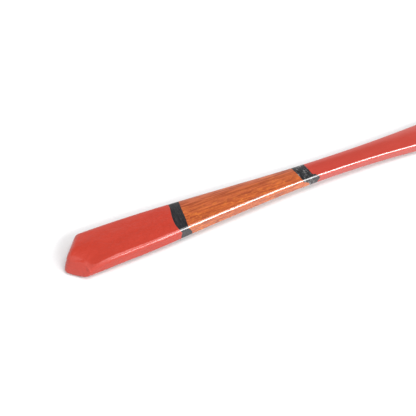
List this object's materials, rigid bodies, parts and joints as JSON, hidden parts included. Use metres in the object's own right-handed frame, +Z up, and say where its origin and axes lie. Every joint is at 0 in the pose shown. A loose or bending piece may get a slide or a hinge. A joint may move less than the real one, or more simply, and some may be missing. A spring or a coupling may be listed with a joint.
{
  "type": "hive tool",
  "caption": "Flared steel hive scraper with a keyhole nail puller and a slender, arched wooden handle, dipped and banded, with a pointed butt.",
  "frame": {"origin": "under the middle of the tool, at the height of the surface that the butt and the cutting edge lie on", "axes": "+X from the pointed butt to the cutting edge, +Z up, +Y to the left"},
  "size_m": [0.2978, 0.04, 0.0099],
  "materials": {
    "blade_steel": "ground lengthwise, satin",
    "bolster_steel": "polished",
    "rivet_steel": "ground flush",
    "lacquered_wood": "orange-brown wood under a high-gloss clear lacquer",
    "red_dip": "thick satin-gloss dipped coat",
    "black_band": "brushed black lacquer under clear lacquer",
    "red_lacquer": "high-gloss lacquer"
  },
  "bodies": {
    "root": {"blade": "blade_steel", "upper_bolster": "bolster_steel", "lower_bolster": "bolster_steel", "bolster_rivets": "rivet_steel", "tang_pins": "rivet_steel", "upper_scale": "lacquered_wood", "lower_scale": "lacquered_wood", "butt_dip": "red_dip", "rear_band": "black_band", "front_band": "black_band", "neck_coat": "red_lacquer"}
  },
  "joints": []
}
